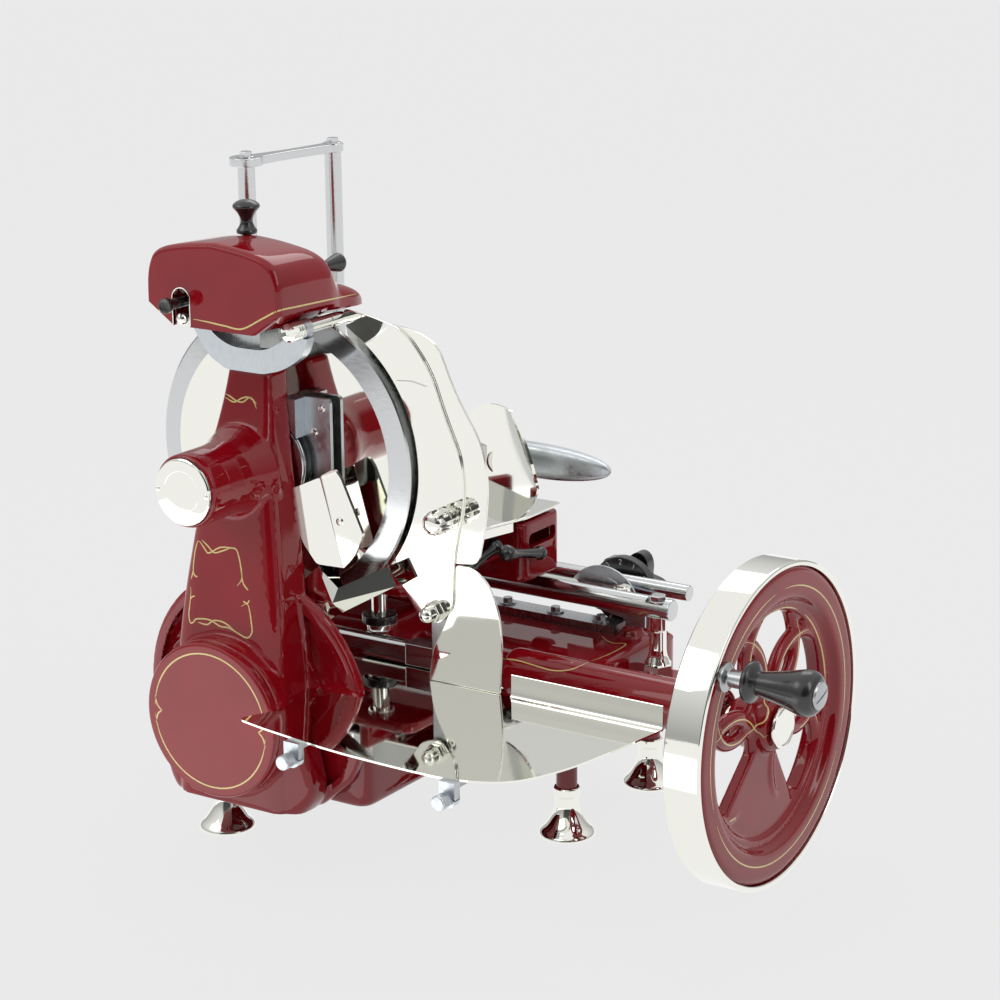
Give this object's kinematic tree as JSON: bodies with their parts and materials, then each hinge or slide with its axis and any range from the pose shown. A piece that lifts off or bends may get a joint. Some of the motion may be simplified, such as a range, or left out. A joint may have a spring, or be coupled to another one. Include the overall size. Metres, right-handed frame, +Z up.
{
  "type": "deli meat slicer",
  "caption": "Hand-cranked flywheel meat slicer: round blade on a cast column, bevel and chain drive, sliding carriage with feed table, press, sharpener and slice tray.",
  "frame": {"origin": "middle of the bounding box's footprint, on the ground", "axes": "+X along the carriage travel towards the flywheel, +Y from the column front towards the thickness dial, +Z up"},
  "size_m": [0.9, 0.627, 0.727],
  "materials": {
    "enamel": "glossy deep red enamel",
    "chrome": "mirror polished",
    "polished_steel": "fine satin polish",
    "steel": "machined",
    "dark_steel": "oiled dark steel",
    "black_plastic": "semi-gloss black",
    "abrasive": "coarse bonded grit"
  },
  "bodies": {
    "frame": {"base_casting": "enamel", "column_casting": "enamel", "foot_1": "chrome", "foot_2": "chrome", "foot_3": "chrome", "foot_4": "chrome", "drive_cover": "enamel", "hub_cap": "chrome", "bearing_housing": "dark_steel", "support_block": "steel", "slide_rod": "chrome", "rod_post_1": "chrome", "rod_post_2": "chrome", "track_bar": "steel", "front_rail": "steel", "inner_guard": "chrome", "outer_guard": "chrome", "lower_guard": "chrome", "guard_bracket": "steel", "stripper_plates": "chrome", "chute": "chrome", "slice_tray": "chrome", "tray_frame": "steel", "fork": "chrome", "tie_rod": "chrome", "sharpener_cover": "enamel", "sharpener_head": "steel", "control_bracket": "polished_steel", "drive_chain": "dark_steel"},
    "drive": {"drive_shaft": "steel", "drive_bevel_gear": "dark_steel", "drive_sprocket": "dark_steel"},
    "flywheel": {"flywheel": "enamel", "flywheel_band": "chrome", "flywheel_shaft": "steel", "wheel_bevel_gear": "dark_steel", "crank_pin": "steel"},
    "grip": {"crank_grip": "black_plastic"},
    "blade": {"blade": "chrome", "blade_shaft": "steel", "blade_sprocket": "dark_steel"},
    "carriage": {"carriage_body": "enamel", "reach_rod": "polished_steel", "trip_bar": "polished_steel", "roller_shaft": "chrome"},
    "roller": {"guide_roller": "black_plastic"},
    "lever_front": {"clamp_lever_1": "black_plastic"},
    "lever_rear": {"clamp_lever_2": "black_plastic"},
    "table": {"table_plate": "chrome", "press_posts": "chrome"},
    "feed": {"feed_screw": "steel"},
    "press": {"press_carrier": "polished_steel", "hand_guard": "chrome", "press_handle": "polished_steel"},
    "dial": {"thickness_knob": "black_plastic"},
    "cover_knob": {"cover_knob": "black_plastic"},
    "side_knob": {"side_knob": "black_plastic"},
    "guard_knob": {"guard_knob": "chrome"},
    "stone_front": {"grinding_stone_1": "abrasive"},
    "stone_rear": {"grinding_stone_2": "abrasive"}
  },
  "joints": [
    {"name": "flywheel_spin", "type": "hinge", "parent": "frame", "child": "flywheel", "pos_m": [0.324, 0.0725, 0.184], "axis": [1, 0, 0], "continuous": true},
    {"name": "drive_spin", "type": "hinge", "parent": "frame", "child": "drive", "pos_m": [-0.16, -0.0615, 0.184], "axis": [0, 1, 0], "continuous": true},
    {"name": "blade_spin", "type": "hinge", "parent": "frame", "child": "blade", "pos_m": [-0.16, -0.0815, 0.434], "axis": [0, 1, 0], "continuous": true},
    {"name": "grip_spin", "type": "hinge", "parent": "flywheel", "child": "grip", "pos_m": [0.406, -0.04712, 0.27284], "axis": [1, 0, 0], "continuous": true},
    {"name": "carriage_slide", "type": "slide", "parent": "frame", "child": "carriage", "axis": [1, 0, 0], "range_m": [-0.13, 0.02]},
    {"name": "roller_spin", "type": "hinge", "parent": "carriage", "child": "roller", "pos_m": [-0.091, -0.0165, 0.251], "axis": [0, 0, 1], "continuous": true},
    {"name": "lever_front_turn", "type": "hinge", "parent": "carriage", "child": "lever_front", "pos_m": [0.001, 0.1565, 0.292], "axis": [1, 0, 0], "range_deg": [0, 45]},
    {"name": "lever_rear_turn", "type": "hinge", "parent": "carriage", "child": "lever_rear", "pos_m": [-0.025, 0.0425, 0.292], "axis": [1, 0, 0], "range_deg": [-45, 0]},
    {"name": "table_feed", "type": "slide", "parent": "carriage", "child": "table", "axis": [0, 1, 0], "range_m": [-0.07, 0.01]},
    {"name": "feed_turn", "type": "hinge", "parent": "carriage", "child": "feed", "pos_m": [-0.15, 0.0985, 0.311], "axis": [0, 1, 0], "range_deg": [-1441, 10081]},
    {"name": "press_slide", "type": "slide", "parent": "table", "child": "press", "axis": [0, 0, 1], "range_m": [-0.006, 0.24]},
    {"name": "dial_turn", "type": "hinge", "parent": "frame", "child": "dial", "pos_m": [0.032, 0.2865, 0.22], "axis": [0, 1, 0], "range_deg": [0, 270]},
    {"name": "cover_knob_turn", "type": "hinge", "parent": "frame", "child": "cover_knob", "pos_m": [-0.166, -0.1255, 0.69], "axis": [0, 0, 1], "range_deg": [0, 360]},
    {"name": "side_knob_pull", "type": "slide", "parent": "frame", "child": "side_knob", "axis": [0, -1, 0], "range_m": [0, 0.006]},
    {"name": "guard_knob_turn", "type": "hinge", "parent": "frame", "child": "guard_knob", "pos_m": [0.042, -0.0955, 0.396], "axis": [0, 1, 0], "range_deg": [0, 360]},
    {"name": "stone_front_spin", "type": "hinge", "parent": "frame", "child": "stone_front", "pos_m": [-0.182, -0.0955, 0.588], "axis": [0, 1, 0], "continuous": true},
    {"name": "stone_rear_spin", "type": "hinge", "parent": "frame", "child": "stone_rear", "pos_m": [-0.14, -0.0705, 0.583], "axis": [0, 1, 0], "continuous": true}
  ],
  "couplings": [
    {"joint": "drive_spin", "follows": "flywheel_spin", "ratio": 1},
    {"joint": "blade_spin", "follows": "flywheel_spin", "ratio": 2.6667},
    {"joint": "feed_turn", "follows": "table_feed", "rad_per_m": -2513.3}
  ]
}
